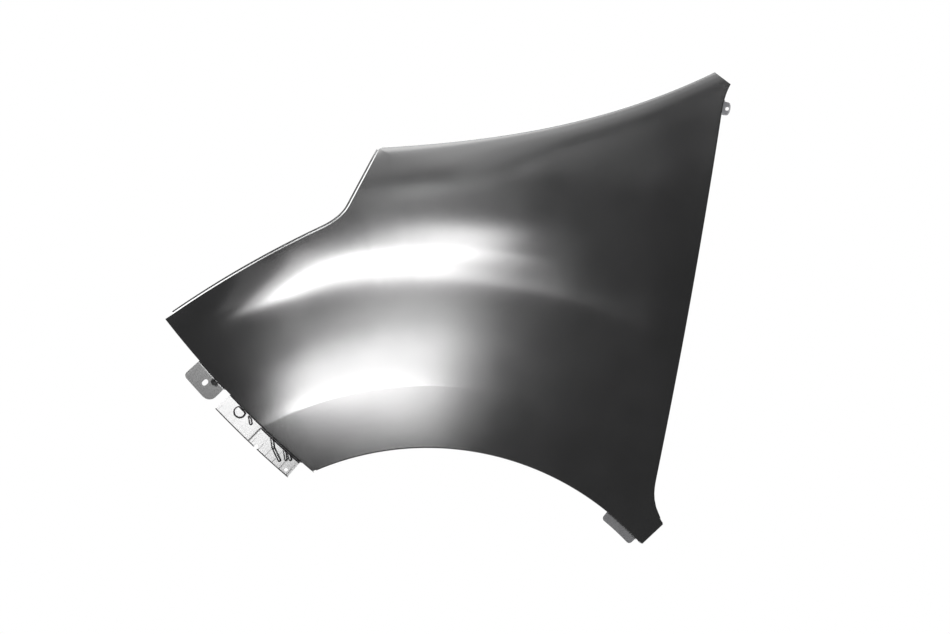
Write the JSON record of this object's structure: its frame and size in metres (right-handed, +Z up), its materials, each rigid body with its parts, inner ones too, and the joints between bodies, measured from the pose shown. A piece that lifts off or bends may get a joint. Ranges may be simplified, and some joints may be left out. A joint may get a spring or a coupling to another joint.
{
  "type": "car fender",
  "caption": "Left front car fender: pressed steel skin with a wheel arch, folded edges, a slotted hood flange and spot-welded brackets.",
  "frame": {"origin": "underside of the shelf below the hood line, 17 mm behind the front bolt hole", "axes": "+X to the rear of the car, +Y inboard, +Z up"},
  "size_m": [0.7991, 0.2311, 0.6612],
  "materials": {
    "black_primer": "satin black electro-coat primer"
  },
  "bodies": {
    "root": {"fender_panel": "black_primer", "bumper_bracket": "black_primer", "headlamp_tab": "black_primer", "pillar_tab": "black_primer", "sill_bracket": "black_primer"}
  },
  "joints": []
}
